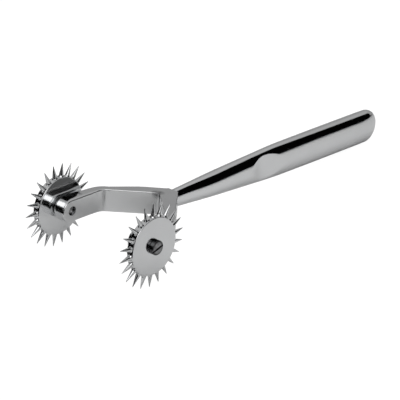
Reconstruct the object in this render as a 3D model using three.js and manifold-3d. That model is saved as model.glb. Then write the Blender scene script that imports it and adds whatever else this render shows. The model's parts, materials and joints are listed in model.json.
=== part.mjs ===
// Double-head neurological pinwheel: a forged steel handle, a bent steel fork, and two spiked
// wheels that spin freely on slotted shoulder screws. Each wheel runs on the outer side of its
// arm, so both rows of spikes roll over the skin side by side.
// Units are millimetres. +Z is up, +X runs from the wheels to the tail of the handle, and the
// wheels turn about Y. The instrument lies on a table, on the spikes and on the handle's tail.
// Left and right are those of a person who holds the handle with the wheels pointing away.

import * as THREE from "three";
import * as BufferGeometryUtils from "three/addons/utils/BufferGeometryUtils.js";
import Module from "manifold-3d";

const wasm = await Module();
wasm.setup();

// Wheels
const wheelTipRadius = 12.5;
const wheelDiscRadius = 8.5;
const wheelThickness = 2.3;
const wheelEdgeChamfer = 0.22;
const wheelSpacing = 36.6;
const spikeCount = 22;
const spikeBaseRadius = 0.9;
const spikeNeckRadius = 0.68;
const spikeNeckHeight = 0.55;
const spikeTipRadius = 0.09;
const spikeRootDepth = 0.5;
const leftWheelTurn = THREE.MathUtils.degToRad(4);
const rightWheelTurn = THREE.MathUtils.degToRad(14.5);

// Pivots
const shoulderRadius = 1.5;
const threadRadius = 1.3;
const runningClearance = 0.1;
const wheelEndPlay = 0.1;
const washerRadius = 2.7;
const washerThickness = 0.3;
const washerChamfer = 0.08;
const headRadius = 2.15;
const headHeight = 1.4;
const headEdgeRound = 0.35;
const slotWidth = 0.75;
const slotDepth = 0.5;
const slotTurn = THREE.MathUtils.degToRad(18);
const threadRecess = 0.6;
const threadChamfer = 0.25;

// Fork
const armHeight = 6.9;
const armInnerEdgeRadius = 0.4;
const armOuterEdgeRadius = 1;
const armEndThickness = 4.3;
const bendThickness = 3.5;
const slopeThickness = 2.9;
const crotchThickness = 4.8;
const bendX = 12.2;
const bendAngle = THREE.MathUtils.degToRad(50);
const bendInnerRadius = 0.5;
const neckTaperLength = 8;
const neckHeight = 5.4;
const neckThickness = 4.2;
const neckLength = 0.5;
const neckChamfer = 0.3;

// Handle
const weldGap = 0.05;
const handleLength = 91.3;
const handleNeckHeight = 5.2;
const handleNeckThickness = 3.9;
const shoulderLength = 18;
const palmHeight = 10.5;
const palmThickness = 5.5;
const taperLength = 43;
const taperBulgeShare = 0.2;
const tailThinningLength = 10;
const tailPower = 2.4;
const scallopStart = 29.8;
const scallopLength = 16.8;
const scallopDepth = 1.05;
const scallopWallShare = 0.42;

// How finely round shapes are cut into flats
const discFacetsPerSpike = 4;
const spikeSides = 8;
const pivotSides = 40;
const edgeSteps = 3;
const bendSteps = 5;
const slopeSteps = 6;
const neckSteps = 3;
const handleSides = 40;
const shoulderStations = 8;
const neckStations = 3;
const wallStations = 8;
const riseStations = 8;
const palmStations = 4;
const thinningStations = 3;
const tailStations = 9;

// Places that follow from the sizes above
const armOuterY = wheelSpacing / 2 - wheelThickness / 2 - wheelEndPlay - washerThickness;
const armInnerY = armOuterY - armEndThickness;
const headSeatY = wheelSpacing / 2 + wheelThickness / 2 + wheelEndPlay;
const overrun = armHeight;

// Materials
const polishedSteel = { color: 0xb4b6b8, roughness: 0.18, metalness: 1 };
const satinSteel = { color: 0xaaacae, roughness: 0.34, metalness: 1 };
const darkSteel = { color: 0x6c6e70, roughness: 0.3, metalness: 1 };

// Solids

// A closed three.js geometry as a solid that can be joined and cut.
function solidOf(geometry) {
  const bare = geometry.clone();
  bare.deleteAttribute("normal");
  bare.deleteAttribute("uv");
  const merged = BufferGeometryUtils.mergeVertices(bare);
  const mesh = new wasm.Mesh({
    numProp: 3,
    vertProperties: Float32Array.from(merged.attributes.position.array),
    triVerts: Uint32Array.from(merged.index.array),
  });
  return new wasm.Manifold(mesh);
}

function geometryOf(solid) {
  const mesh = solid.getMesh();
  const geometry = new THREE.BufferGeometry();
  geometry.setAttribute("position", new THREE.BufferAttribute(mesh.vertProperties, 3));
  geometry.setIndex(new THREE.BufferAttribute(mesh.triVerts, 1));
  geometry.computeVertexNormals();
  return geometry;
}

function joined(solids) {
  return solids.reduce((whole, piece) => whole.add(piece));
}

// A block given by its two far corners.
function block(low, high) {
  const size = new THREE.Vector3().subVectors(high, low);
  const middle = new THREE.Vector3().addVectors(low, high).multiplyScalar(0.5);
  return new THREE.BoxGeometry(size.x, size.y, size.z).translate(middle.x, middle.y, middle.z);
}

// A shape turned about the Y axis from pairs of radius and Y.
function turned(profile, sides) {
  const points = profile.map(([radius, y]) => new THREE.Vector2(radius, y));
  return new THREE.LatheGeometry(points, sides);
}

// A skin over a row of equal rings of points, closed at both ends around each end ring's middle.
function lofted(rings) {
  const count = rings[0].length;
  const points = rings.flat();
  const indices = [];
  for (let ring = 0; ring < rings.length - 1; ring += 1) {
    for (let i = 0; i < count; i += 1) {
      const a = ring * count + i;
      const b = ring * count + (i + 1) % count;
      indices.push(a, b, b + count, a, b + count, a + count);
    }
  }
  const lastStart = (rings.length - 1) * count;
  for (let i = 0; i < count; i += 1) {
    const next = (i + 1) % count;
    indices.push(points.length, next, i);
    indices.push(points.length + 1, lastStart + i, lastStart + next);
  }
  const ends = [rings[0], rings[rings.length - 1]].map(middleOf);
  const geometry = new THREE.BufferGeometry().setFromPoints([...points, ...ends]);
  geometry.setIndex(indices);
  return geometry;
}

function middleOf(ring) {
  const sum = ring.reduce((total, point) => total.add(point), new THREE.Vector3());
  return sum.divideScalar(ring.length);
}

function steps(from, to, count) {
  return Array.from({ length: count + 1 }, (_, i) => from + (to - from) * i / count);
}

// Wheels

// A sharp spike that stands on the Y axis, with a flared foot and a tiny flat at its tip.
function spikeGeometry() {
  const length = wheelTipRadius - wheelDiscRadius + spikeRootDepth;
  const flareTop = spikeRootDepth + spikeNeckHeight;
  const profile = [
    [0, 0],
    [spikeBaseRadius, 0],
    [spikeBaseRadius, spikeRootDepth],
    [spikeNeckRadius, flareTop],
    [spikeTipRadius, length],
    [0, length],
  ];
  return turned(profile, spikeSides);
}

function spikeAngles(turn) {
  return Array.from({ length: spikeCount }, (_, i) => turn + i * 2 * Math.PI / spikeCount);
}

function wheelGeometry(turn) {
  const half = wheelThickness / 2;
  const bore = shoulderRadius + runningClearance;
  const flatRadius = wheelDiscRadius - wheelEdgeChamfer;
  const rimHalf = half - wheelEdgeChamfer;
  const disc = turned([
    [bore, -half],
    [flatRadius, -half],
    [wheelDiscRadius, -rimHalf],
    [wheelDiscRadius, rimHalf],
    [flatRadius, half],
    [bore, half],
    [bore, -half],
  ], spikeCount * discFacetsPerSpike);
  disc.rotateY(-turn);
  const solids = [solidOf(disc)];
  for (const angle of spikeAngles(turn)) {
    const spike = spikeGeometry().translate(0, wheelDiscRadius - spikeRootDepth, 0);
    solids.push(solidOf(spike.rotateZ(-Math.PI / 2).rotateY(-angle)));
  }
  return geometryOf(joined(solids));
}

// Pivots

// The spacer washer, from the arm's outer face at Y = 0.
function washerGeometry() {
  const bore = shoulderRadius + runningClearance;
  return turned([
    [bore, 0],
    [washerRadius - washerChamfer, 0],
    [washerRadius, washerChamfer],
    [washerRadius, washerThickness - washerChamfer],
    [washerRadius - washerChamfer, washerThickness],
    [bore, washerThickness],
    [bore, 0],
  ], pivotSides);
}

// The slotted shoulder screw of the right arm, along +Y, in its real place.
function screwGeometry() {
  const tipY = armInnerY + threadRecess;
  const topY = headSeatY + headHeight;
  const headEdge = steps(0, Math.PI / 2, edgeSteps).map((angle) => [
    headRadius - headEdgeRound * (1 - Math.cos(angle)),
    topY - headEdgeRound * (1 - Math.sin(angle)),
  ]);
  const body = turned([
    [0, tipY],
    [threadRadius - threadChamfer, tipY],
    [threadRadius, tipY + threadChamfer],
    [threadRadius, armOuterY],
    [shoulderRadius, armOuterY],
    [shoulderRadius, headSeatY],
    [headRadius, headSeatY],
    ...headEdge,
    [0, topY],
  ], pivotSides);
  const slotHalf = slotWidth / 2;
  const slot = block(
    new THREE.Vector3(-headRadius - overrun, topY - slotDepth, -slotHalf),
    new THREE.Vector3(headRadius + overrun, topY + overrun, slotHalf),
  );
  slot.rotateY(slotTurn);
  return geometryOf(solidOf(body).subtract(solidOf(slot)));
}

// Fork

// The arms' section, a rectangle with rounded edges, as pairs of depth from the inner face and
// height. Its outer edges are rounded more than its inner ones.
function armSection(thickness, height, innerEdge, outerEdge) {
  const corners = [
    [thickness - outerEdge, height / 2 - outerEdge, 0, outerEdge],
    [innerEdge, height / 2 - innerEdge, Math.PI / 2, innerEdge],
    [innerEdge, innerEdge - height / 2, Math.PI, innerEdge],
    [thickness - outerEdge, outerEdge - height / 2, 3 * Math.PI / 2, outerEdge],
  ];
  return corners.flatMap(([depth, z, start, radius]) => steps(start, start + Math.PI / 2, edgeSteps)
    .map((angle) => [depth + radius * Math.cos(angle), z + radius * Math.sin(angle)]));
}

// Where the inner face leaves the bend, and where the sloping part's faces meet the middle.
const bendCentreY = armInnerY - bendInnerRadius;
const slopeX = bendX + bendInnerRadius * Math.sin(bendAngle);
const slopeY = bendCentreY + bendInnerRadius * Math.cos(bendAngle);
const crotchX = slopeX + slopeY / Math.tan(bendAngle);
const outerStartX = slopeX + slopeThickness * Math.sin(bendAngle);
const outerStartY = slopeY + slopeThickness * Math.cos(bendAngle);
const outerEndX = crotchX + crotchThickness * Math.sin(bendAngle);
const outerEndY = crotchThickness * Math.cos(bendAngle);
const outerRun = (outerEndX - outerStartX) / (outerStartY - outerEndY);
const neckX = outerEndX + (outerEndY - neckThickness / 2) * outerRun + neckLength;

// The height of a point of the bar, which is full at the arms and lower towards the neck.
function loweredZ(x, z) {
  const lowered = THREE.MathUtils.smoothstep(x, neckX - neckTaperLength, neckX);
  return z * (1 - lowered * (1 - neckHeight / armHeight));
}

// One ring of an arm: its inner face passes through (x, y), and heading is how far the arm has
// turned there from the handle's direction towards the middle.
function armRing(x, y, heading, thickness) {
  const outX = Math.sin(heading);
  const outY = Math.cos(heading);
  const section = armSection(thickness, armHeight, armInnerEdgeRadius, armOuterEdgeRadius);
  return section.map(([depth, z]) => {
    const pointX = x + outX * depth;
    return new THREE.Vector3(pointX, y + outY * depth, loweredZ(pointX, z));
  });
}

// The bent bar of the right arm, from the pivot to beyond the middle of the fork.
function armBar() {
  const rings = [
    armRing(0, armInnerY, 0, armEndThickness),
    armRing(armHeight / 2, armInnerY, 0, armEndThickness),
  ];
  for (const share of steps(0, 1, bendSteps)) {
    const heading = bendAngle * share;
    const x = bendX + bendInnerRadius * Math.sin(heading);
    const y = bendCentreY + bendInnerRadius * Math.cos(heading);
    const thickness = bendThickness + (slopeThickness - bendThickness) * share;
    rings.push(armRing(x, y, heading, thickness));
  }
  const pastMiddle = 1 + outerEndY / slopeY;
  for (const share of steps(0, pastMiddle, slopeSteps).slice(1)) {
    const x = slopeX + (crotchX - slopeX) * share;
    const y = slopeY * (1 - share);
    const thickness = slopeThickness + (crotchThickness - slopeThickness) * share;
    rings.push(armRing(x, y, bendAngle, thickness));
  }
  return lofted(rings);
}

// The round end of the right arm, about the wheel's axis.
function armEnd() {
  const radius = armHeight / 2;
  const edge = (start, y, size) => steps(start, start + Math.PI / 2, edgeSteps).map(
    (angle) => [radius - size + size * Math.cos(angle), y + size * Math.sin(angle)],
  );
  return turned([
    [0, armInnerY],
    ...edge(-Math.PI / 2, armInnerY + armInnerEdgeRadius, armInnerEdgeRadius),
    ...edge(0, armOuterY - armOuterEdgeRadius, armOuterEdgeRadius),
    [0, armOuterY],
  ], pivotSides);
}

function pivotHole() {
  const radius = threadRadius + runningClearance;
  const low = armInnerY - overrun;
  const high = armOuterY + overrun;
  return turned([[0, low], [radius, low], [radius, high], [0, high]], pivotSides);
}

// The short square neck that the handle is welded to, chamfered at its end.
function neckBar() {
  const ring = (x, inset) => {
    const wide = neckThickness - 2 * inset;
    const tall = armHeight - 2 * inset;
    return armSection(wide, tall, armOuterEdgeRadius, armOuterEdgeRadius).map(
      ([depth, z]) => new THREE.Vector3(x, depth - wide / 2, loweredZ(x, z)),
    );
  };
  const shoulders = steps(crotchX + armOuterEdgeRadius, neckX - neckChamfer, neckSteps);
  return lofted([...shoulders.map((x) => ring(x, 0)), ring(neckX, neckChamfer)]);
}

// The right arm, cut off at the neck and a little past the middle of the fork, where both meet.
function rightArm() {
  const reach = armOuterY + overrun;
  const keep = block(
    new THREE.Vector3(-reach, -neckThickness / 4, -overrun),
    new THREE.Vector3(neckX - neckChamfer, reach, overrun),
  );
  const whole = solidOf(armBar()).add(solidOf(armEnd())).subtract(solidOf(pivotHole()));
  return whole.intersect(solidOf(keep));
}

function forkGeometry() {
  const right = geometryOf(rightArm());
  const left = right.clone().rotateX(Math.PI);
  return geometryOf(joined([solidOf(right), solidOf(left), solidOf(neckBar())]));
}

// Handle

// How far the handle has swelled from its neck, from 0 to 1.
function swell(distance) {
  const share = Math.min(distance / taperLength, 1);
  return share * (1 + taperBulgeShare * (1 - share));
}

// The thumb scallop: a smooth wall near the wheels, then a longer rise to the full thickness.
function scallopCut(distance) {
  const share = (distance - scallopStart) / scallopLength;
  if (share <= 0 || share >= 1) return 0;
  if (share < scallopWallShare) {
    return scallopDepth * (1 - Math.cos(Math.PI * share / scallopWallShare)) / 2;
  }
  const rise = (share - scallopWallShare) / (1 - scallopWallShare);
  return scallopDepth * (1 + Math.cos(Math.PI * rise)) / 2;
}

// One section of the handle. Its broad faces are crowned, and the scallops cut them flat.
function handleRing(distance) {
  const tailStart = handleLength - palmHeight / 2;
  const past = Math.max(distance - tailStart, 0) / (palmHeight / 2);
  const thinning = Math.max(distance - handleLength + tailThinningLength, 0) / tailThinningLength;
  const height = handleNeckHeight + (palmHeight - handleNeckHeight) * swell(distance);
  const thickness = handleThickness(distance);
  const halfHeight = height / 2 * Math.sqrt(1 - past ** 2);
  const halfThickness = thickness / 2 * (1 - thinning ** tailPower) ** (1 / tailPower);
  const limit = thickness / 2 - scallopCut(distance);
  return Array.from({ length: handleSides }, (_, i) => {
    const angle = i * 2 * Math.PI / handleSides;
    const side = halfThickness * Math.cos(angle);
    const y = Math.max(-limit, Math.min(limit, side));
    return new THREE.Vector3(distance, y, halfHeight * Math.sin(angle));
  });
}

// The handle's full thickness, which it reaches a little way behind its neck.
function handleThickness(distance) {
  const rise = THREE.MathUtils.smoothstep(distance, 0, shoulderLength);
  return handleNeckThickness + (palmThickness - handleNeckThickness) * rise;
}

function handleGeometry() {
  const tailStart = handleLength - palmHeight / 2;
  const wallEnd = scallopStart + scallopLength * scallopWallShare;
  const scallopEnd = scallopStart + scallopLength;
  const thinningStart = handleLength - tailThinningLength;
  const tailAngles = steps(0, Math.PI / 2, tailStations).slice(1, -1);
  const stations = [
    ...steps(weldGap, shoulderLength, shoulderStations),
    ...steps(shoulderLength, scallopStart, neckStations).slice(1),
    ...steps(scallopStart, wallEnd, wallStations).slice(1),
    ...steps(wallEnd, scallopEnd, riseStations).slice(1),
    ...steps(scallopEnd, thinningStart, palmStations).slice(1),
    ...steps(thinningStart, tailStart, thinningStations).slice(1),
    ...tailAngles.map((angle) => tailStart + palmHeight / 2 * Math.sin(angle)),
  ];
  return lofted(stations.map(handleRing));
}

// Assembly

function piece(name, geometry, finish) {
  const mesh = new THREE.Mesh(geometry, new THREE.MeshStandardMaterial(finish));
  mesh.name = name;
  return mesh;
}

// The washer, wheel and screw of one arm. The left arm's are turned round to point along -Y.
function pivotGroup(side, flip, wheelTurn) {
  const group = new THREE.Group();
  const washer = piece(`${side}_spacer_washer`, washerGeometry(), satinSteel);
  washer.position.y = armOuterY;
  const screw = piece(`${side}_pivot_screw`, screwGeometry(), darkSteel);
  const wheel = piece(`${side}_spiked_wheel`, wheelGeometry(wheelTurn), satinSteel);
  wheel.position.y = wheelSpacing / 2;
  group.add(washer, screw, wheel);
  group.rotation.x = flip ? Math.PI : 0;
  return group;
}

// The lowest reach of a wheel's spikes below its axis, when the wheel is turned in the world.
function spikeDrop(turn) {
  return Math.max(...spikeAngles(turn).map((angle) => -Math.sin(angle))) * wheelTipRadius;
}

// The slope of the instrument when its tail and its lower wheel touch the table.
const axleHeight = Math.max(spikeDrop(leftWheelTurn), spikeDrop(rightWheelTurn));
const tailCentreX = neckX + handleLength - palmHeight / 2;
const tableSlope = Math.asin((axleHeight - palmHeight / 2) / tailCentreX);

function instrumentGroup() {
  const group = new THREE.Group();
  const handle = piece("handle", handleGeometry(), polishedSteel);
  handle.position.x = neckX;
  group.add(handle, piece("fork", forkGeometry(), polishedSteel));
  group.add(pivotGroup("right", false, rightWheelTurn + tableSlope));
  group.add(pivotGroup("left", true, -leftWheelTurn - tableSlope));
  group.rotation.y = tableSlope;
  return group;
}

// The whole instrument, centred over its footprint with its lowest point on the table.
const pinwheel = new THREE.Group();
pinwheel.add(instrumentGroup());
pinwheel.updateMatrixWorld(true);
const bounds = new THREE.Box3().setFromObject(pinwheel, true);
pinwheel.position.x = -(bounds.min.x + bounds.max.x) / 2;
pinwheel.position.y = -(bounds.min.y + bounds.max.y) / 2;
pinwheel.position.z = -bounds.min.z;

export default pinwheel;
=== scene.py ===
"""Two-wheel neurological pinwheel of polished stainless steel, on a plain pale table.

Sizes are millimetres in the instrument's own frame: X runs from the wheels' axle to the handle's
tail, Y to the right arm and Z up. seated() brings a finished shape into the library's frame.
"""

import json
import math

import bmesh
import bpy
from mathutils import Matrix, Quaternion, Vector


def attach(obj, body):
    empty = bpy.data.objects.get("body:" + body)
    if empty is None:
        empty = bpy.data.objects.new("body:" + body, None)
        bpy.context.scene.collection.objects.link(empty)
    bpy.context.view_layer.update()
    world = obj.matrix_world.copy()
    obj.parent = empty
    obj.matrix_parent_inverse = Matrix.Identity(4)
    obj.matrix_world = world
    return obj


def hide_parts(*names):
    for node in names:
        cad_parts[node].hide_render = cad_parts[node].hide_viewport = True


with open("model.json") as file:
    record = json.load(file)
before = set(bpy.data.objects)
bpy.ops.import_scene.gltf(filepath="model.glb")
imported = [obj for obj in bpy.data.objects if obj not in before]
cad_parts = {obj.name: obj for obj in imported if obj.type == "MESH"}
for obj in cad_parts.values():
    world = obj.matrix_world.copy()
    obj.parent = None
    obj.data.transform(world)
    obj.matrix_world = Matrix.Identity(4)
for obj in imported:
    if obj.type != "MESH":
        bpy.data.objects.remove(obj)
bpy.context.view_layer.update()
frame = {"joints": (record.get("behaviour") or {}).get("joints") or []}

# Sizes. The palm's section, the fork's slope, crotch and edges, and the screws' slot and thread
# are finer here than in the solids.

MM = 0.001
MERGE = 1e-5
AXLE = next(j["pos_m"] for j in frame["joints"] if j["name"] == "right_wheel_spin")

WHEEL_SPACING = 36.6
WHEEL_THICKNESS = 2.3
DISC_RADIUS = 8.5
TIP_RADIUS = 12.5
SPIKES = 22
SPIKE_FOOT_RADIUS = 0.9
SPIKE_WAIST_RADIUS = 0.66
SPIKE_FOOT_HEIGHT = 0.6
SPIKE_TIP_RADIUS = 0.085
SPIKE_TIP_SHARE = 0.6
SPIKE_TIP_LENGTH = 0.06
SPIKE_ROOT = 0.5
RIGHT_TURN = math.radians(14.5)
LEFT_TURN = math.radians(4)
HUB_RADIUS = 1.6
HUB_CHAMFER = 0.15
FACE_RINGS = (3, 5.5)
RIM_EDGE = 0.2

SHOULDER_RADIUS = 1.5
THREAD_RADIUS = 1.3
THREAD_PITCH = 0.45
THREAD_DEPTH = 0.12
THREAD_RECESS = 0.6
THREAD_LEAD = 0.3
THREAD_RELIEF = 0.5
THREAD_TIP = ((0, 0), (0.35, 0), (0.9, 0.06))
WASHER_RADIUS = 2.7
WASHER_THICKNESS = 0.3
WASHER_EDGE = 0.08
END_PLAY = 0.1
HEAD_RADIUS = 2.15
HEAD_HEIGHT = 1.4
HEAD_EDGE = 0.3
HEAD_EDGE_STOP = math.pi / 2 - 0.12
HEAD_SEAT_EDGE = 0.05
HEAD_CROWN = 0.14
# Painted shade on the screw head: its colour darkens from the first radius out to the second.
HEAD_SHADE_START_RADIUS = 1.45
HEAD_SHADE_FULL_RADIUS = 1.8
SLOT_WIDTH = 0.75
SLOT_DEPTH = 0.35
SLOT_TURN = math.radians(18)

ARM_HEIGHT = 6.9
ARM_INNER_EDGE = (1.2, 0.4)
SLOPE_INNER_EDGE = (0.3, 0.25)
ARM_OUTER_EDGE = 1
EDGE_CHANGE_X = 6.9
ARM_END_THICKNESS = 4.3
BEND_THICKNESS = 3.5
SLOPE_THICKNESS = 2.9
CROTCH_THICKNESS = 5.4
HOLE_RADIUS = 1.4
BEND_X = 10.05
BEND_ANGLE = math.radians(50)
BEND_RADIUS = 3.5
NECK_X = 28.105
NECK_TAPER_LENGTH = 8
NECK_HEIGHT = 5.3
NECK_THICKNESS = 4.2
NECK_LENGTH = 0.5
NECK_EDGE = 0.3
NECK_ROUNDING = 0.3
CROTCH_RADIUS = 0.6
SLOPE_STATION_SHARES = (0.02, 0.2, 0.4, 0.6, 0.75, 0.87, 0.96, 1)
CROTCH_STATION_SHARES = (0.2, 0.4, 0.55, 0.7)
SIDE_ROW_SHARES = (0.95, 0.5, 0, -0.5, -0.95)

HANDLE_LENGTH = 91.3
HANDLE_SUNK = 0.5
HANDLE_NECK_LENGTH = 4
HANDLE_NECK_HEIGHT = 5.4
HANDLE_NECK_THICKNESS = 3.9
SHOULDER_LENGTH = 18
PALM_HEIGHT = 10.5
PALM_THICKNESS = 5.5
PALM_POWER = 2.3
FLAT_START = 35
FLAT_END = 60
TAPER_LENGTH = 43
TAPER_BULGE = 0.2
TAPER_SOFTNESS = 0.09
TAIL_THINNING = 10
TAIL_POWER = 2.4
SCALLOP_START = 29.8
SCALLOP_LENGTH = 16.8
SCALLOP_DEPTH = 1.05
SCALLOP_WALL = 0.42
SCALLOP_SOFTNESS = 0.3

POLISH_LINE_STRETCH = 0.03
POLISH_LINE_SHARE = 0.5
POLISH_DEPTH = 0.02
# Painted shade where the fork's legs meet the neck: a dark mottled patch in the fork's colour.
CROTCH_SHADE_PLACE = (22.06, 0.5, 3.33)
CROTCH_SHADE_REACH = 2.3
CROTCH_SHADE_CORE_SHARE = 0.35
CROTCH_SHADE_STRENGTH = 1.3
CROTCH_SHADE_MOTTLE_SCALE = 900.0

# The studio, in metres and degrees. A bearing goes from +X towards +Y.
TABLE_REACH = 4.0
TABLE_GREY = 0.55
TABLE_GLOW = 0.97
TABLE_SHADOW_GREY = 0.12
SKY_FILL = 0.12
SKY_RISE = (0.42, 0.75)
SKY_SHINE = (0.43, 0.63)
CARD_BLACK = 0.004
CARD_DISTANCE = 0.9
CARD_BOTTOM = 0.3
FAR_FLOOR_END = -0.08
FAR_FLOOR_REACH = 0.9
FAR_FLOOR_LIFT = 0.0004
# The flag is a dark sheet, seen only in reflections, that paints shade into the far wheel's face.
FLAG_Y = 0.0123
FLAG_X = (-0.0548, -0.0432)
FLAG_BOTTOM = (0.01575, 0.01502)
FLAG_TOP = 0.0195
FLAG_GLOW = 0.085
CAMERA_PLACE = (-0.462549, -0.413359, 0.303897)
CAMERA_TARGET = (-0.033016, -0.017507, 0.01876)
CAMERA_LENS = 210.87
CAMERA_SENSOR = 36
CAMERA_ROLL = 0.3

# Places that follow from the sizes
ARM_OUTER_Y = WHEEL_SPACING / 2 - WHEEL_THICKNESS / 2 - END_PLAY - WASHER_THICKNESS
ARM_INNER_Y = ARM_OUTER_Y - ARM_END_THICKNESS
HEAD_SEAT_Y = WHEEL_SPACING / 2 + WHEEL_THICKNESS / 2 + END_PLAY
SLOPE_X = BEND_X + BEND_RADIUS * math.sin(BEND_ANGLE)
SLOPE_Y = ARM_INNER_Y - BEND_RADIUS + BEND_RADIUS * math.cos(BEND_ANGLE)
SLOPE_OUT = Vector((math.sin(BEND_ANGLE), math.cos(BEND_ANGLE)))
CROTCH_X = SLOPE_X + SLOPE_Y / math.tan(BEND_ANGLE)
ARM_FLAT_X = ARM_HEIGHT / 2
ARM_STATIONS = (0.3, 1.8, ARM_FLAT_X - 0.2, ARM_FLAT_X, 4.2, 7, 9.5, BEND_X - 0.3)
TAIL_START = HANDLE_LENGTH - PALM_HEIGHT / 2
TABLE_SLOPE = math.asin((AXLE[2] / MM - PALM_HEIGHT / 2) / (NECK_X + TAIL_START))


# Shapes


def spread(start, end, count):
    """count + 1 values from start to end."""
    return [start + (end - start) * i / count for i in range(count + 1)]


def clamped(share):
    """A share held between 0 and 1."""
    return min(max(share, 0), 1)


def eased(share):
    """A share from 0 to 1 with a soft start and end."""
    share = clamped(share)
    return share * share * (3 - 2 * share)


def soft_min(a, b, softness):
    """The smaller of two values, with a rounded change from one to the other."""
    share = max(softness - abs(a - b), 0) / softness
    return min(a, b) - share * share * softness / 4


def bezier(a, b, c, t):
    """A point on the curve that leaves a towards b and ends at c."""
    return a * (1 - t) ** 2 + b * 2 * t * (1 - t) + c * t * t


def seated():
    """The move from the instrument's frame, in millimetres, to the library's, in metres."""
    place = Matrix.Translation((AXLE[0], 0, AXLE[2]))
    return place @ Matrix.Rotation(TABLE_SLOPE, 4, "Y") @ Matrix.Scale(MM, 4)


def pointing_out(side):
    """Turns a shape built along Z so that Z points outwards on that side, +1 right or -1 left."""
    return Matrix.Rotation(-side * math.pi / 2, 4, "X")


def mesh_from(name, points, faces):
    """A mesh of points and of faces that number them."""
    mesh = bpy.data.meshes.new(name)
    mesh.from_pydata(points, [], faces)
    return mesh


def closed_up(mesh):
    """Closes seams and poles, and turns every face outwards."""
    shape = bmesh.new()
    shape.from_mesh(mesh)
    bmesh.ops.remove_doubles(shape, verts=shape.verts, dist=MERGE)
    bmesh.ops.dissolve_degenerate(shape, edges=shape.edges, dist=MERGE / 2)
    bmesh.ops.recalc_face_normals(shape, faces=shape.faces)
    shape.to_mesh(mesh)
    shape.free()
    return mesh


def lathe(name, profile, sides):
    """A closed shape turned about Z from pairs of radius and Z."""
    count = len(profile)
    points, faces = [], []
    for i in range(sides):
        a = 2 * math.pi * i / sides
        points += [(r * math.cos(a), r * math.sin(a), z) for r, z in profile]
    for i in range(sides):
        for k in range(count - 1):
            a, b = i * count + k, (i + 1) % sides * count + k
            faces.append((a, b, b + 1, a + 1))
    return closed_up(mesh_from(name, points, faces))


def skin(name, rings, closed=True):
    """A skin over equal rings of points, with a flat cap at each end."""
    count = len(rings[0])
    points = [p for ring in rings for p in ring]
    faces = []
    for r in range(len(rings) - 1):
        for i in range(count):
            a, b = r * count + i, r * count + (i + 1) % count
            faces.append((a, b, b + count, a + count))
    if closed:
        faces.append(tuple(range(count)))
        last = (len(rings) - 1) * count
        faces.append(tuple(reversed(range(last, last + count))))
    return closed_up(mesh_from(name, points, faces))


def rounded(radius, height, turn_from, turn_to, edge, count=6):
    """Points of a lathe profile on an edge rounding whose centre lies at radius and height."""
    return [
        (radius + edge * math.cos(a), height + edge * math.sin(a))
        for a in spread(turn_from, turn_to, count)
    ]


def piece(name, mesh, place, body, material, node, sharp=38, flat_faces=True):
    """Puts a finished mesh in its place, rides it on its body and hides the node it stands for."""
    mesh.transform(place)
    if place.determinant() < 0:
        mesh.flip_normals()
    for face in mesh.polygons:
        face.use_smooth = True
    mesh.set_sharp_from_angle(angle=math.radians(sharp))
    thing = bpy.data.objects.new(name, mesh)
    bpy.context.scene.collection.objects.link(thing)
    if flat_faces:
        thing = settled(thing, weighted_normals)
    thing.data.materials.clear()
    thing.data.materials.append(material)
    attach(thing, body)
    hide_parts(node)


def settled(thing, add_modifier):
    """The thing with a modifier added and turned into plain mesh."""
    add_modifier(thing)
    view = bpy.context.evaluated_depsgraph_get()
    made = bpy.data.meshes.new_from_object(
        thing.evaluated_get(view), preserve_all_data_layers=True, depsgraph=view
    )
    old = thing.data
    thing.modifiers.clear()
    thing.data = made
    made.name = old.name
    bpy.data.meshes.remove(old)
    return thing


def weighted_normals(thing):
    """Keeps wide flat faces flat to their edges in the reflections."""
    modifier = thing.modifiers.new("flat_faces", "WEIGHTED_NORMAL")
    modifier.mode = "FACE_AREA"
    modifier.weight = 100
    modifier.keep_sharp = True


def cut(mesh, tool):
    """One mesh cut by another."""
    block = bpy.data.objects.new("cut_block", mesh)
    blade = bpy.data.objects.new("cut_blade", tool)
    for thing in (block, blade):
        bpy.context.scene.collection.objects.link(thing)
    modifier = block.modifiers.new("cut", "BOOLEAN")
    modifier.operation = "DIFFERENCE"
    modifier.solver = "EXACT"
    modifier.object = blade
    view = bpy.context.evaluated_depsgraph_get()
    made = bpy.data.meshes.new_from_object(block.evaluated_get(view), depsgraph=view)
    made.name = mesh.name
    bpy.data.objects.remove(block)
    bpy.data.objects.remove(blade)
    bpy.data.meshes.remove(mesh)
    bpy.data.meshes.remove(tool)
    return made


# Finishes


def new_group(name, inputs, outputs):
    """A shader node group with its sockets, and its entry and exit nodes."""
    group = bpy.data.node_groups.new(name, "ShaderNodeTree")
    for socket, kind, value in inputs:
        made = group.interface.new_socket(name=socket, in_out="INPUT", socket_type=kind)
        made.default_value = value
    for socket, kind in outputs:
        group.interface.new_socket(name=socket, in_out="OUTPUT", socket_type=kind)
    entry = group.nodes.new("NodeGroupInput")
    leave = group.nodes.new("NodeGroupOutput")
    return group, entry, leave


def add(tree, kind, **settings):
    """A node with its settings; settings that name a socket set that socket's value."""
    node = tree.nodes.new(kind)
    for name, value in settings.items():
        if hasattr(node, name):
            setattr(node, name, value)
        else:
            node.inputs[name.replace("_", " ")].default_value = value
    return node


def wire(tree, *pairs):
    """Links pairs of sockets."""
    for source, target in pairs:
        tree.links.new(source, target)


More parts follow.
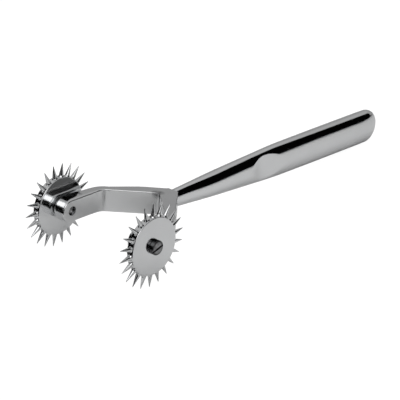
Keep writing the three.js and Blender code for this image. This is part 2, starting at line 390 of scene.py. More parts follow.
def polish_group():
    """Fine polishing lines along X and a soft unevenness, for a polished forged surface."""
    group, entry, leave = new_group(
        "polish_lines",
        [
            ("Vector", "NodeSocketVector", (0, 0, 0)),
            ("Line Scale", "NodeSocketFloat", 9000.0),
            ("Cloud Scale", "NodeSocketFloat", 160.0),
            ("Base Roughness", "NodeSocketFloat", 0.08),
            ("Roughness Spread", "NodeSocketFloat", 0.06),
        ],
        [("Height", "NodeSocketFloat"), ("Roughness", "NodeSocketFloat"), ("Cloud", "NodeSocketFloat")],
    )
    stretch = add(group, "ShaderNodeVectorMath", operation="MULTIPLY")
    stretch.inputs[1].default_value = (POLISH_LINE_STRETCH, 1, 1)
    lines = add(group, "ShaderNodeTexNoise", Detail=3.0, Roughness=0.6)
    clouds = add(group, "ShaderNodeTexNoise", Detail=4.0, Roughness=0.55)
    both = add(group, "ShaderNodeMath", operation="MULTIPLY_ADD")
    both.inputs[1].default_value = POLISH_LINE_SHARE
    scaled = add(group, "ShaderNodeMath", operation="MULTIPLY_ADD")
    wire(
        group,
        (entry.outputs["Vector"], stretch.inputs[0]),
        (stretch.outputs[0], lines.inputs["Vector"]),
        (entry.outputs["Line Scale"], lines.inputs["Scale"]),
        (entry.outputs["Vector"], clouds.inputs["Vector"]),
        (entry.outputs["Cloud Scale"], clouds.inputs["Scale"]),
        (lines.outputs["Fac"], both.inputs[0]),
        (clouds.outputs["Fac"], both.inputs[2]),
        (both.outputs[0], scaled.inputs[0]),
        (entry.outputs["Roughness Spread"], scaled.inputs[1]),
        (entry.outputs["Base Roughness"], scaled.inputs[2]),
        (lines.outputs["Fac"], leave.inputs["Height"]),
        (scaled.outputs[0], leave.inputs["Roughness"]),
        (clouds.outputs["Fac"], leave.inputs["Cloud"]),
    )
    return group


def turned_group():
    """Fine rings round an axis along Y, as a lathe leaves them."""
    group, entry, leave = new_group(
        "turned_rings",
        [
            ("Vector", "NodeSocketVector", (0, 0, 0)),
            ("Ring Scale", "NodeSocketFloat", 9000.0),
        ],
        [("Height", "NodeSocketFloat"), ("Radius", "NodeSocketFloat")],
    )
    flat = add(group, "ShaderNodeVectorMath", operation="MULTIPLY")
    flat.inputs[1].default_value = (1, 0, 1)
    length = add(group, "ShaderNodeVectorMath", operation="LENGTH")
    place = add(group, "ShaderNodeCombineXYZ")
    rings = add(group, "ShaderNodeTexNoise", Detail=2.0, Roughness=0.7)
    wire(
        group,
        (entry.outputs["Vector"], flat.inputs[0]),
        (flat.outputs[0], length.inputs[0]),
        (length.outputs["Value"], place.inputs["X"]),
        (place.outputs[0], rings.inputs["Vector"]),
        (entry.outputs["Ring Scale"], rings.inputs["Scale"]),
        (rings.outputs["Fac"], leave.inputs["Height"]),
        (length.outputs["Value"], leave.inputs["Radius"]),
    )
    return group


def steel(name, light, dark, roughness, unevenness, bump, axle=None, ring_bump=0.0, clouds=160.0):
    """Stainless steel. Its colour wanders between two greys, and its gloss with the polish."""
    material = bpy.data.materials.new(name)
    material.use_nodes = True
    tree = material.node_tree
    surface = tree.nodes["Principled BSDF"]
    surface.inputs["Metallic"].default_value = 1.0
    place = add(tree, "ShaderNodeTexCoord")
    centred = add(tree, "ShaderNodeMapping", vector_type="POINT")
    if axle is not None:
        centred.inputs["Location"].default_value = [-value for value in axle]
    polish = add(tree, "ShaderNodeGroup", node_tree=groups["polish_lines"])
    polish.inputs["Base Roughness"].default_value = roughness
    polish.inputs["Roughness Spread"].default_value = unevenness
    polish.inputs["Cloud Scale"].default_value = clouds
    colour = add(tree, "ShaderNodeMix", data_type="RGBA")
    colour.inputs["A"].default_value = (*dark, 1)
    colour.inputs["B"].default_value = (*light, 1)
    relief = add(tree, "ShaderNodeBump", Strength=bump, Distance=POLISH_DEPTH * MM)
    wire(
        tree,
        (place.outputs["Object"], centred.inputs["Vector"]),
        (centred.outputs["Vector"], polish.inputs["Vector"]),
        (polish.outputs["Cloud"], colour.inputs["Factor"]),
        (colour.outputs["Result"], surface.inputs["Base Color"]),
        (polish.outputs["Roughness"], surface.inputs["Roughness"]),
        (relief.outputs["Normal"], surface.inputs["Normal"]),
    )
    if ring_bump:
        rings = add(tree, "ShaderNodeGroup", node_tree=groups["turned_rings"])
        height = add(tree, "ShaderNodeMath", operation="MULTIPLY_ADD")
        height.inputs[1].default_value = ring_bump
        wire(
            tree,
            (centred.outputs["Vector"], rings.inputs["Vector"]),
            (rings.outputs["Height"], height.inputs[0]),
            (polish.outputs["Height"], height.inputs[2]),
            (height.outputs[0], relief.inputs["Height"]),
        )
    else:
        wire(tree, (polish.outputs["Height"], relief.inputs["Height"]))
    return material


def paint_rim_shade(material, start, end, black):
    """Painted shade: darkens a turned piece's rim and side, from one distance off its axis to another.
    """
    tree = material.node_tree
    surface = tree.nodes["Principled BSDF"]
    rings = next(
        node
        for node in tree.nodes
        if node.bl_idname == "ShaderNodeGroup" and node.node_tree == groups["turned_rings"]
    )
    rim = add(tree, "ShaderNodeMapRange", From_Min=start, From_Max=end)
    dark = add(tree, "ShaderNodeMix", data_type="RGBA")
    dark.inputs["B"].default_value = (*black, 1)
    plain = surface.inputs["Base Color"].links[0].from_socket
    wire(
        tree,
        (rings.outputs["Radius"], rim.inputs["Value"]),
        (rim.outputs["Result"], dark.inputs["Factor"]),
        (plain, dark.inputs["A"]),
        (dark.outputs["Result"], surface.inputs["Base Color"]),
    )


def painted_shade_patch(material, place, reach, shade_colour):
    """Painted shade: a dark mottled patch in the steel's colour, darkest in its core and gone at its
    reach.
    """
    tree = material.node_tree
    surface = tree.nodes["Principled BSDF"]
    position = add(tree, "ShaderNodeTexCoord")
    mottle = add(tree, "ShaderNodeTexNoise", Scale=CROTCH_SHADE_MOTTLE_SCALE, Detail=3.0)
    far = add(tree, "ShaderNodeVectorMath", operation="DISTANCE")
    far.inputs[1].default_value = place
    fade = add(tree, "ShaderNodeMapRange", From_Min=reach * CROTCH_SHADE_CORE_SHARE)
    fade.inputs["From Max"].default_value = reach
    fade.inputs["To Min"].default_value = CROTCH_SHADE_STRENGTH
    fade.inputs["To Max"].default_value = 0.0
    patchy = add(tree, "ShaderNodeMath", operation="MULTIPLY", use_clamp=True)
    dark = add(tree, "ShaderNodeMix", data_type="RGBA")
    dark.inputs["B"].default_value = (*shade_colour, 1)
    plain = surface.inputs["Base Color"].links[0].from_socket
    wire(
        tree,
        (position.outputs["Object"], mottle.inputs["Vector"]),
        (position.outputs["Object"], far.inputs[0]),
        (far.outputs["Value"], fade.inputs["Value"]),
        (fade.outputs["Result"], patchy.inputs[0]),
        (mottle.outputs["Fac"], patchy.inputs[1]),
        (patchy.outputs[0], dark.inputs["Factor"]),
        (plain, dark.inputs["A"]),
        (dark.outputs["Result"], surface.inputs["Base Color"]),
    )


groups = {"polish_lines": polish_group(), "turned_rings": turned_group()}

handle_steel = steel(
    "polished_forging",
    light=(0.82, 0.828, 0.836),
    dark=(0.76, 0.767, 0.774),
    roughness=0.05,
    unevenness=0.05,
    bump=0.25,
)
fork_steel = steel(
    "polished_bar",
    light=(0.79, 0.797, 0.804),
    dark=(0.71, 0.716, 0.722),
    roughness=0.05,
    unevenness=0.06,
    bump=0.3,
)
# Painted shade in the fork's crotch.
painted_shade_patch(
    fork_steel,
    place=seated() @ Vector(CROTCH_SHADE_PLACE),
    reach=CROTCH_SHADE_REACH * MM,
    shade_colour=(0.12, 0.121, 0.123),
)
# Painted shade: the washer's grey is darkened so that the narrow gap between arm and wheel looks
# shadowed.
washer_shaded_steel = steel(
    "dark_washer",
    light=(0.2, 0.202, 0.205),
    dark=(0.12, 0.121, 0.123),
    roughness=0.2,
    unevenness=0.06,
    bump=0.2,
    axle=AXLE,
    ring_bump=0.8,
)
wheel_steel = steel(
    "ground_wheel",
    light=(0.81, 0.818, 0.826),
    dark=(0.74, 0.747, 0.754),
    roughness=0.08,
    unevenness=0.06,
    bump=0.2,
    axle=AXLE,
    ring_bump=0.5,
)
screw_steel = steel(
    "dark_screw",
    light=(0.52, 0.525, 0.53),
    dark=(0, 0, 0),
    roughness=0.12,
    unevenness=0.12,
    bump=0.3,
    axle=AXLE,
    ring_bump=1.0,
    clouds=1100.0,
)
# Painted shade on the screw heads' rounded rim and side.
paint_rim_shade(
    screw_steel,
    start=HEAD_SHADE_START_RADIUS * MM,
    end=HEAD_SHADE_FULL_RADIUS * MM,
    black=(0.08, 0.081, 0.083),
)


# The handle


def swell(distance):
    """How far the handle has swelled in height from its neck, from 0 to 1."""
    share = soft_min(distance / TAPER_LENGTH, 1, TAPER_SOFTNESS)
    return share * (1 + TAPER_BULGE * (1 - share))


def scallop_cut(distance):
    """How deep the thumb scallop is. It is a little steeper on the neck's side."""
    share = (distance - SCALLOP_START) / SCALLOP_LENGTH
    if share <= 0 or share >= 1:
        return 0
    if share < SCALLOP_WALL:
        return SCALLOP_DEPTH * (1 - math.cos(math.pi * share / SCALLOP_WALL)) / 2
    rise = (share - SCALLOP_WALL) / (1 - SCALLOP_WALL)
    return SCALLOP_DEPTH * (1 + math.cos(math.pi * rise)) / 2


def squared(value, power):
    """Squares up a circle's sine or cosine: power 2 leaves it round."""
    return math.copysign(abs(value) ** (2 / power), value)


def handle_ring(distance, sides):
    """One section of the handle. Its broad faces are crowned, and the scallops cut them flat."""
    past = clamped((distance - TAIL_START) / (PALM_HEIGHT / 2))
    height = HANDLE_NECK_HEIGHT + (PALM_HEIGHT - HANDLE_NECK_HEIGHT) * swell(max(distance, 0))
    rise = eased(distance / SHOULDER_LENGTH)
    thickness = HANDLE_NECK_THICKNESS + (PALM_THICKNESS - HANDLE_NECK_THICKNESS) * rise
    half_height = height / 2 * math.sqrt(1 - past**2)
    thinning = clamped((distance - HANDLE_LENGTH + TAIL_THINNING) / TAIL_THINNING)
    half_thickness = thickness / 2 * (1 - thinning**TAIL_POWER) ** (1 / TAIL_POWER)
    flat = clamped((distance - FLAT_START) / (FLAT_END - FLAT_START))
    power = 2 + (PALM_POWER - 2) * flat
    carved = scallop_cut(distance)
    limit = thickness / 2 - carved
    ring = []
    for i in range(sides):
        angle = 2 * math.pi * i / sides
        side = half_thickness * squared(math.cos(angle), power)
        if carved > 0:
            soft = SCALLOP_SOFTNESS * carved / SCALLOP_DEPTH
            side = math.copysign(soft_min(abs(side), limit, soft), side)
        ring.append((NECK_X + distance, side, half_height * squared(math.sin(angle), power)))
    return ring


def handle_mesh():
    """The handle, from its sunk root to its tail, with the closest sections in the scallop."""
    scallop_end = SCALLOP_START + SCALLOP_LENGTH
    stations = (
        spread(-HANDLE_SUNK, HANDLE_NECK_LENGTH, 9)[:-1]
        + spread(HANDLE_NECK_LENGTH, SCALLOP_START, 30)[:-1]
        + spread(SCALLOP_START, scallop_end, 56)[:-1]
        + spread(scallop_end, HANDLE_LENGTH - TAIL_THINNING, 34)[:-1]
        + spread(HANDLE_LENGTH - TAIL_THINNING, TAIL_START, 8)[:-1]
        + [TAIL_START + PALM_HEIGHT / 2 * math.sin(a) for a in spread(0, math.pi / 2, 28)]
    )
    return skin("handle_forging", [handle_ring(distance, 112) for distance in stations])


# The fork


def arm_profile(thickness, inner_edge, outer_edge):
    """Across the bar from its inner face: pairs of depth and drop below the full height."""
    turns = spread(0, math.pi / 2, 7)
    width, height = inner_edge
    edge = [(width * (1 - math.cos(a)), height * (1 - math.sin(a))) for a in turns]
    far = [(outer_edge * (1 - math.cos(a)), outer_edge * (1 - math.sin(a))) for a in turns]
    return edge + [(thickness - depth, drop) for depth, drop in reversed(far)]


def nearing_neck(x):
    """0 along the arms, and up to 1 where the bar meets the handle."""
    return eased((x - NECK_X + NECK_TAPER_LENGTH) / NECK_TAPER_LENGTH)


def lowered(x, z):
    """The height of a point of the bar, which is full at the arms and lower towards the neck."""
    return z * (1 - nearing_neck(x) * (1 - NECK_HEIGHT / ARM_HEIGHT))


def arm_ring(inner, outer, end_turn=math.pi / 2):
    """A closed ring round the bar, from an inner to an outer point of its plan. end_turn turns
    the ring about the wheel's axis, to close the arm's round end. The inner edge is wide along
    the arm, and narrow on the slope and at the round end."""
    across = (outer - inner).normalized()
    bend = clamped((inner.x - EDGE_CHANGE_X) / (SLOPE_X - EDGE_CHANGE_X))
    crisp = max(bend, 1 - (end_turn / (math.pi / 2)) ** 3)
    inner_edge = Vector(ARM_INNER_EDGE).lerp(Vector(SLOPE_INNER_EDGE), crisp)
    outer_edge = ARM_OUTER_EDGE + (NECK_ROUNDING - ARM_OUTER_EDGE) * nearing_neck(outer.x)
    top = []
    for depth, drop in arm_profile((outer - inner).length, inner_edge, outer_edge):
        reach = ARM_HEIGHT / 2 - drop
        spot = inner + across * depth
        x = spot.x - reach * math.cos(end_turn)
        top.append((x, spot.y, lowered(x, reach * math.sin(end_turn))))
    bottom = [(x, y, -z) for x, y, z in reversed(top)]
    down = [(*top[-1][:2], top[-1][2] * share) for share in SIDE_ROW_SHARES]
    up = [(*top[0][:2], -top[0][2] * share) for share in SIDE_ROW_SHARES]
    return top + down + bottom + up


def fork_plan():
    """Stations along the right arm's plan: its inner point, outer point and end turn."""
    stations = []
    inner, outer = Vector((0, ARM_INNER_Y)), Vector((0, ARM_OUTER_Y))
    for turn in spread(0, math.pi / 2, 16):
        stations.append((inner, outer, turn))
    for x in ARM_STATIONS:
        share = max(x - ARM_FLAT_X, 0) / (BEND_X - ARM_FLAT_X)
        thickness = ARM_END_THICKNESS + (BEND_THICKNESS - ARM_END_THICKNESS) * share
        stations.append((Vector((x, ARM_INNER_Y)), Vector((x, ARM_INNER_Y + thickness))))
    for share in spread(0, 1, 10):
        heading = BEND_ANGLE * share
        out = Vector((math.sin(heading), math.cos(heading)))
        inner = Vector((BEND_X, ARM_INNER_Y - BEND_RADIUS)) + out * BEND_RADIUS
        thickness = BEND_THICKNESS + (SLOPE_THICKNESS - BEND_THICKNESS) * share
        stations.append((inner, inner + out * thickness))
    along = Vector((SLOPE_OUT.y, -SLOPE_OUT.x))
    start = Vector((SLOPE_X, SLOPE_Y))
    length = SLOPE_Y / math.sin(BEND_ANGLE)
    run = length - CROTCH_RADIUS / math.tan(BEND_ANGLE)
    for share in SLOPE_STATION_SHARES:
        inner = start + along * run * share
        growth = (CROTCH_THICKNESS - SLOPE_THICKNESS) * run * share / length
        stations.append((inner, inner + SLOPE_OUT * (SLOPE_THICKNESS + growth)))
    return stations + crotch_plan(stations[-1][1])


def crotch_plan(first):
    """Stations that turn round the fork's crotch, from an outer point of the slope to the middle."""
    corner = Vector((NECK_X - NECK_LENGTH, NECK_THICKNESS / 2))
    end = Vector((NECK_X, NECK_THICKNESS / 2 - NECK_EDGE))
    outline = [first.lerp(corner, share) for share in CROTCH_STATION_SHARES]
    outline += [bezier(outline[-1], corner, end, share) for share in spread(0, 1, 12)[1:]]
    outline += [Vector((NECK_X, y)) for y in spread(end.y, 0, 4)[1:]]
    centre = Vector((CROTCH_X - CROTCH_RADIUS / math.sin(BEND_ANGLE), 0))
    headings = spread(BEND_ANGLE, math.pi / 2, len(outline))[1:]
    fillet = [centre + Vector((math.sin(a), math.cos(a))) * CROTCH_RADIUS for a in headings]
    return list(zip(fillet, outline))


def fork_mesh():
    """The bar, from the right arm round the crotch to the left, drilled through both arms."""
    rings = [arm_ring(*station) for station in fork_plan()]
    mirrored = [[(x, -y, z) for x, y, z in ring] for ring in reversed(rings[:-1])]
    mesh = skin("fork_bar", rings + mirrored, closed=False)
    reach = 2 * ARM_OUTER_Y
    drill = lathe(
        "drill",
        [(0, -reach), (HOLE_RADIUS, -reach), (HOLE_RADIUS, reach), (0, reach)],
        64,
    )
    drill.transform(Matrix.Rotation(math.pi / 2, 4, "X"))
    return cut(mesh, drill)


# Wheels, screws and washers


def spike_mesh():
    """A sharp spike along Z from inside the rim, with a flared foot."""
    length = TIP_RADIUS - DISC_RADIUS
    cone = length - SPIKE_TIP_LENGTH - SPIKE_FOOT_HEIGHT
    profile = [(0, -SPIKE_ROOT), (SPIKE_FOOT_RADIUS, -SPIKE_ROOT), (SPIKE_FOOT_RADIUS, 0)]
    for share in spread(0, 1, 5)[1:]:
        flare = (1 - share) ** 2
        radius = SPIKE_WAIST_RADIUS + (SPIKE_FOOT_RADIUS - SPIKE_WAIST_RADIUS) * flare
        profile.append((radius, SPIKE_FOOT_HEIGHT * share))
    for share in spread(0, 1, 6)[1:]:
        radius = SPIKE_WAIST_RADIUS + (SPIKE_TIP_RADIUS - SPIKE_WAIST_RADIUS) * share
        profile.append((radius, SPIKE_FOOT_HEIGHT + cone * share))
    profile += [(SPIKE_TIP_RADIUS * SPIKE_TIP_SHARE, length - SPIKE_TIP_LENGTH / 3), (0, length)]
    return lathe("spike", profile, 28)


def disc_mesh():
    """The wheel's disc about Z, with rounded edges at the rim and a chamfered hub hole."""
    half = WHEEL_THICKNESS / 2
    inner, outer = DISC_RADIUS - RIM_EDGE, half - RIM_EDGE
    rings = (HUB_RADIUS + 2 * HUB_CHAMFER, *FACE_RINGS, inner - HUB_CHAMFER)
    profile = [(HUB_RADIUS, -half + HUB_CHAMFER), (HUB_RADIUS + HUB_CHAMFER, -half)]
    profile += [(radius, -half) for radius in rings]
    profile += rounded(inner, -outer, -math.pi / 2, 0, RIM_EDGE)
    profile += rounded(inner, outer, 0, math.pi / 2, RIM_EDGE)
    profile += [(radius, half) for radius in reversed(rings)]
    profile += [(HUB_RADIUS + HUB_CHAMFER, half), (HUB_RADIUS, half - HUB_CHAMFER), profile[0]]
    return lathe("wheel_disc", profile, SPIKES * 8)


def wheel_tree():
    """Sets a ring of spikes round the disc that the modifier is on."""
    tree = bpy.data.node_groups.new("spiked_wheel", "GeometryNodeTree")
    for name, kind in (
        ("Disc", "NodeSocketGeometry"),
        ("Spike", "NodeSocketObject"),
        ("Spikes", "NodeSocketInt"),
        ("Rim Radius", "NodeSocketFloat"),
        ("Turn", "NodeSocketFloat"),
        ("Finish", "NodeSocketMaterial"),
    ):
        tree.interface.new_socket(name=name, in_out="INPUT", socket_type=kind)
    tree.interface.new_socket(name="Wheel", in_out="OUTPUT", socket_type="NodeSocketGeometry")
    entry, leave = tree.nodes.new("NodeGroupInput"), tree.nodes.new("NodeGroupOutput")
    circle = add(tree, "GeometryNodeMeshCircle", fill_type="NONE")
    turn = add(tree, "ShaderNodeCombineXYZ")
    turned = add(tree, "GeometryNodeTransform")
    spike = add(tree, "GeometryNodeObjectInfo")
    outward = add(tree, "GeometryNodeInputPosition")
    aim = add(tree, "FunctionNodeAlignRotationToVector", axis="Z")
    ring = add(tree, "GeometryNodeInstanceOnPoints")
    real = add(tree, "GeometryNodeRealizeInstances")
    whole = add(tree, "GeometryNodeJoinGeometry")
    finish = add(tree, "GeometryNodeSetMaterial")
    wire(
        tree,
        (entry.outputs["Spikes"], circle.inputs["Vertices"]),
        (entry.outputs["Rim Radius"], circle.inputs["Radius"]),
        (entry.outputs["Turn"], turn.inputs["Z"]),
        (turn.outputs[0], turned.inputs["Rotation"]),
        (circle.outputs["Mesh"], turned.inputs["Geometry"]),
        (entry.outputs["Spike"], spike.inputs["Object"]),
        (outward.outputs["Position"], aim.inputs["Vector"]),
        (turned.outputs["Geometry"], ring.inputs["Points"]),
        (spike.outputs["Geometry"], ring.inputs["Instance"]),
        (aim.outputs["Rotation"], ring.inputs["Rotation"]),
        (ring.outputs["Instances"], real.inputs["Geometry"]),
        (entry.outputs["Disc"], whole.inputs["Geometry"]),
        (real.outputs["Geometry"], whole.inputs["Geometry"]),
        (whole.outputs["Geometry"], finish.inputs["Geometry"]),
        (entry.outputs["Finish"], finish.inputs["Material"]),
        (finish.outputs["Geometry"], leave.inputs["Wheel"]),
    )
    return tree


def wheel_mesh(tree, turn):
    """A plain mesh of one wheel about Z, made by the node tree."""
    spike = bpy.data.objects.new("spike_pattern", spike_mesh())
    disc = bpy.data.objects.new("disc_blank", disc_mesh())
    for thing in (spike, disc):
        bpy.context.scene.collection.objects.link(thing)
    modifier = disc.modifiers.new("spikes", "NODES")
    modifier.node_group = tree
    values = {
        "Spike": spike,
        "Spikes": SPIKES,
        "Rim Radius": DISC_RADIUS,
        "Turn": turn,
        "Finish": wheel_steel,
    }
    for item in tree.interface.items_tree:
        if item.in_out == "INPUT" and item.name in values:
            modifier[item.identifier] = values[item.name]
    disc.update_tag()
    view = bpy.context.evaluated_depsgraph_get()
    made = bpy.data.meshes.new_from_object(disc.evaluated_get(view), depsgraph=view)
    made.name = "spiked_wheel"
    bpy.data.objects.remove(disc)
    bpy.data.objects.remove(spike)
    return made


def washer_mesh():
    """The spacer washer about Z, standing on the arm at Z = 0."""
    edge = WASHER_EDGE
    inner, top = WASHER_RADIUS - edge, WASHER_THICKNESS - edge
    profile = [(HUB_RADIUS, edge), (HUB_RADIUS + edge, 0), (inner, 0)]
    profile += rounded(inner, edge, -math.pi / 2, 0, edge, 4)[1:]
    profile += rounded(inner, top, 0, math.pi / 2, edge, 4)
    profile += [(HUB_RADIUS + edge, WASHER_THICKNESS), (HUB_RADIUS, top), (HUB_RADIUS, edge)]
    return lathe("spacer_washer", profile, 96)


def screw_mesh():
    """The slotted shoulder screw about Z, with Z at its real distance from the middle."""
    tip = ARM_INNER_Y + THREAD_RECESS
    top = HEAD_SEAT_Y + HEAD_HEIGHT
    rim = HEAD_RADIUS - HEAD_EDGE
    root = THREAD_RADIUS - THREAD_DEPTH
    start = tip + THREAD_LEAD
    profile = [(radius, tip + rise) for radius, rise in THREAD_TIP] + [(root, start)]
    turns = int((ARM_OUTER_Y - start - THREAD_RELIEF) / THREAD_PITCH)
    for low in [start + i * THREAD_PITCH for i in range(turns)]:
        profile += [(THREAD_RADIUS, low + THREAD_PITCH / 2), (root, low + THREAD_PITCH)]
    profile += [(root, ARM_OUTER_Y), (SHOULDER_RADIUS, ARM_OUTER_Y)]
    profile += [(SHOULDER_RADIUS, HEAD_SEAT_Y), (HEAD_RADIUS - HEAD_SEAT_EDGE, HEAD_SEAT_Y)]
    profile += [(HEAD_RADIUS, HEAD_SEAT_Y + HEAD_SEAT_EDGE)]
    profile += rounded(rim, top - HEAD_CROWN - HEAD_EDGE, 0, HEAD_EDGE_STOP, HEAD_EDGE, 6)
    for share in spread(1, 0, 8)[1:]:
        profile.append((rim * share, top - HEAD_CROWN * share * share))
    mesh = lathe("shoulder_screw", profile, 96)
    size = Matrix.Diagonal((HEAD_RADIUS * 3, SLOT_WIDTH, 2 * SLOT_DEPTH, 1))
    place = Matrix.Translation((0, 0, top)) @ Matrix.Rotation(SLOT_TURN, 4, "Z") @ size
    blade = bmesh.new()
    bmesh.ops.create_cube(blade, size=1, matrix=place)
    tool = bpy.data.meshes.new("slot_blade")
    blade.to_mesh(tool)
    blade.free()
    return cut(mesh, tool)


def make_pivot(side, name, turn, tree):
    """The washer, screw and wheel of one arm."""
    out = seated() @ pointing_out(side)
    lift = Matrix.Translation((0, 0, ARM_OUTER_Y))
    node = f"{name}_spacer_washer"
    piece(f"{name}_washer", washer_mesh(), out @ lift, "instrument", washer_shaded_steel, node)
    node = f"{name}_pivot_screw"
    piece(f"{name}_screw", screw_mesh(), out, "instrument", screw_steel, node)
    spin = -side * (turn + TABLE_SLOPE)
    lift = Matrix.Translation((0, 0, WHEEL_SPACING / 2))
    node, body = f"{name}_spiked_wheel", f"{name}_wheel"
    piece(f"{name}_wheel", wheel_mesh(tree, spin), out @ lift, body, wheel_steel, node)


piece(
    "forged_handle",
    handle_mesh(),
    seated(),
    "instrument",
    handle_steel,
    "handle",
    sharp=50,
    flat_faces=False,
)
piece("bent_fork", fork_mesh(), seated(), "instrument", fork_steel, "fork", sharp=30)
spiked_wheel = wheel_tree()
make_pivot(1, "right", RIGHT_TURN, spiked_wheel)
make_pivot(-1, "left", LEFT_TURN, spiked_wheel)


# Table, lights and camera


def grey(value):
    """An even grey as a colour socket takes it."""
    return (value, value, value, 1)


def table_paint():
    """A pale table. The camera sees it white with a soft shadow, and the steel sees its grey."""
    material = bpy.data.materials.new("pale_table")
    material.use_nodes = True
    tree = material.node_tree
    tree.nodes.clear()
    path = add(tree, "ShaderNodeLightPath")
    paint = add(tree, "ShaderNodeBsdfDiffuse", Color=grey(TABLE_GREY))
    shadow = add(tree, "ShaderNodeBsdfDiffuse", Color=grey(TABLE_SHADOW_GREY))
    glow = add(tree, "ShaderNodeEmission", Strength=TABLE_GLOW)
    white = add(tree, "ShaderNodeAddShader")
    seen = add(tree, "ShaderNodeMixShader")
    leave = add(tree, "ShaderNodeOutputMaterial")
    wire(
        tree,
        (shadow.outputs[0], white.inputs[0]),
        (glow.outputs[0], white.inputs[1]),
        (path.outputs["Is Camera Ray"], seen.inputs["Fac"]),
        (paint.outputs[0], seen.inputs[1]),
        (white.outputs[0], seen.inputs[2]),
        (seen.outputs[0], leave.inputs["Surface"]),
    )
    return material


def card_paint():
    """The matt black of the studio's cards."""
    material = bpy.data.materials.new("matt_black_card")
    material.use_nodes = True
    surface = material.node_tree.nodes["Principled BSDF"]
    surface.inputs["Base Color"].default_value = grey(CARD_BLACK)
    surface.inputs["Roughness"].default_value = 1.0
    surface.inputs["Specular IOR Level"].default_value = 0.0
    return material


def flag_shade_paint():
    """The flag's painted shade: a faint glow gives a dark grey in a first reflection, and it turns
    black where one reflection is seen in another.
    """
    material = bpy.data.materials.new("dark_flag")
    material.use_nodes = True
    tree = material.node_tree
    surface = tree.nodes["Principled BSDF"]
    surface.inputs["Base Color"].default_value = grey(CARD_BLACK)
    surface.inputs["Emission Color"].default_value = grey(1)
    path = add(tree, "ShaderNodeLightPath")
    first = add(tree, "ShaderNodeMath", operation="LESS_THAN")
    first.inputs[1].default_value = 1.5
    glow = add(tree, "ShaderNodeMath", operation="MULTIPLY")
    glow.inputs[1].default_value = FLAG_GLOW
    wire(
        tree,
        (path.outputs["Ray Depth"], first.inputs[0]),
        (first.outputs[0], glow.inputs[0]),
        (glow.outputs[0], surface.inputs["Emission Strength"]),
    )
    return material


def plane(name, corners, material, only_reflected=True):
    """A flat sheet of the studio. Unless told otherwise, only the steel's reflections see it."""
    mesh = mesh_from(name, corners, [(0, 1, 2, 3)])
    mesh.materials.append(material)
    thing = bpy.data.objects.new(name, mesh)
    bpy.context.scene.collection.objects.link(thing)
    if only_reflected:
        thing.visible_camera = False
        thing.visible_diffuse = False
        thing.visible_shadow = False


def floor(name, x_range, reach, height, material, only_reflected=True):
    """A level sheet from one X to another, as far to each side as its reach."""
    left, right = x_range
    corners = [(left, -reach, height), (right, -reach, height), (right, reach, height)]
    corners.append((left, reach, height))
    plane(name, corners, material, only_reflected)


def dark_card(name, bearing, width, top, material):
    """An upright card that faces the instrument, from just over the table up to an elevation."""
    turn = math.radians(bearing)
    middle = Vector((math.cos(turn), math.sin(turn), 0)) * CARD_DISTANCE
    across = Vector((-math.sin(turn), math.cos(turn), 0)) * width / 2
    low, high = (
        Vector((0, 0, CARD_DISTANCE * math.tan(math.radians(angle)))) for angle in (CARD_BOTTOM, top)
    )
    corners = [middle - across + low, middle + across + low]
    corners += [middle + across + high, middle - across + high]
    plane(name, corners, material)


def shade_flag():
    """A little dark sheet beside the far arm that paints shade into the far wheel's polished face,
    which mirrors it.
    """
    left, right = FLAG_X
    left_bottom, right_bottom = FLAG_BOTTOM
    corners = [(left, FLAG_Y, left_bottom), (right, FLAG_Y, right_bottom)]
    corners += [(right, FLAG_Y, FLAG_TOP), (left, FLAG_Y, FLAG_TOP)]
    plane("small_dark_flag", corners, flag_shade_paint())


def studio_sky():
    """White to the camera, a dim fill, and in the steel a grey that pales towards the top."""
    world = bpy.data.worlds.new("studio")
    world.use_nodes = True
    tree = world.node_tree
    tree.nodes.clear()
    path = add(tree, "ShaderNodeLightPath")
    place = add(tree, "ShaderNodeTexCoord")
    split = add(tree, "ShaderNodeSeparateXYZ")
    rise = add(tree, "ShaderNodeMapRange", From_Min=SKY_RISE[0], From_Max=SKY_RISE[1])
    rise.inputs["To Min"].default_value, rise.inputs["To Max"].default_value = SKY_SHINE
    fill = add(tree, "ShaderNodeBackground", Strength=SKY_FILL)
    shine = add(tree, "ShaderNodeBackground")
    white = add(tree, "ShaderNodeBackground", Color=grey(1))
    mirrored = add(tree, "ShaderNodeMixShader")
    seen = add(tree, "ShaderNodeMixShader")
    leave = add(tree, "ShaderNodeOutputWorld")
    wire(
        tree,
        (place.outputs["Generated"], split.inputs[0]),
        (split.outputs["Z"], rise.inputs["Value"]),
        (rise.outputs["Result"], shine.inputs["Strength"]),
        (path.outputs["Is Glossy Ray"], mirrored.inputs["Fac"]),
        (fill.outputs[0], mirrored.inputs[1]),
        (shine.outputs[0], mirrored.inputs[2]),
        (path.outputs["Is Camera Ray"], seen.inputs["Fac"]),
        (mirrored.outputs[0], seen.inputs[1]),
        (white.outputs[0], seen.inputs[2]),
        (seen.outputs[0], leave.inputs["Surface"]),
    )
    return world


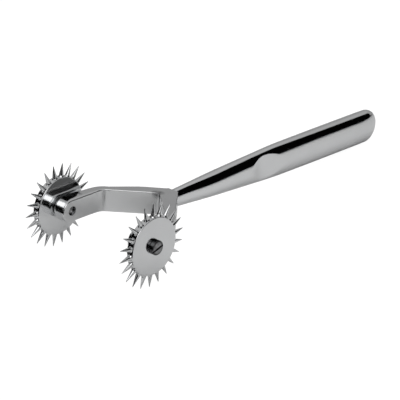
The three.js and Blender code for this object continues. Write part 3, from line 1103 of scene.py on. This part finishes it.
def bearing_point(bearing, elevation, distance):
    """A point seen from the instrument at a bearing and an elevation."""
    turn, rise = math.radians(bearing), math.radians(elevation)
    level = Vector((math.cos(turn), math.sin(turn), 0)) * math.cos(rise)
    return (level + Vector((0, 0, math.sin(rise)))) * distance


def softbox(name, place, aim, size, power):
    """A square area light that faces its aim."""
    lamp = bpy.data.lights.new(name, "AREA")
    lamp.shape = "SQUARE"
    lamp.size = size
    lamp.energy = power
    thing = bpy.data.objects.new(name, lamp)
    thing.location = place
    thing.rotation_euler = (Vector(aim) - Vector(place)).to_track_quat("-Z", "Y").to_euler()
    bpy.context.scene.collection.objects.link(thing)
    return thing


def photo_camera():
    """The camera at the photograph's angle."""
    camera = bpy.data.cameras.new("photo_view")
    camera.sensor_width = CAMERA_SENSOR
    camera.lens = CAMERA_LENS
    camera.clip_start = 0.01
    camera.clip_end = 20
    viewer = bpy.data.objects.new("photo_view", camera)
    viewer.location = CAMERA_PLACE
    aim = (Vector(CAMERA_TARGET) - Vector(CAMERA_PLACE)).to_track_quat("-Z", "Y")
    roll = Quaternion((0, 0, 1), math.radians(CAMERA_ROLL))
    viewer.rotation_euler = (aim @ roll).to_euler()
    bpy.context.scene.collection.objects.link(viewer)
    return viewer


floor("table", (-TABLE_REACH, TABLE_REACH), TABLE_REACH, 0, table_paint(), only_reflected=False)
black = card_paint()
dark_card("right_dark_card", bearing=-50, width=1.0, top=58, material=black)
dark_card("left_dark_card", bearing=130, width=0.9, top=39, material=black)
dark_card("front_dark_card", bearing=-142, width=1.2, top=22, material=black)
floor(
    "dark_far_floor", (-FAR_FLOOR_REACH, FAR_FLOOR_END), FAR_FLOOR_REACH, FAR_FLOOR_LIFT, black
)
# Painted shade in the far wheel's face.
shade_flag()

overhead = softbox(
    "overhead_softbox", place=(0.005, 0, 0.17), aim=(0.01, -0.01, 0), size=0.3, power=0.58
)
overhead.visible_glossy = False
front = softbox(
    "front_softbox", place=bearing_point(-138, 43, 1.0), aim=(-0.02, 0, 0.01), size=0.68, power=2.0
)
front.visible_diffuse = False

bpy.context.scene.world = studio_sky()
bpy.context.scene.camera = photo_camera()
bpy.context.scene.view_settings.view_transform = "Standard"
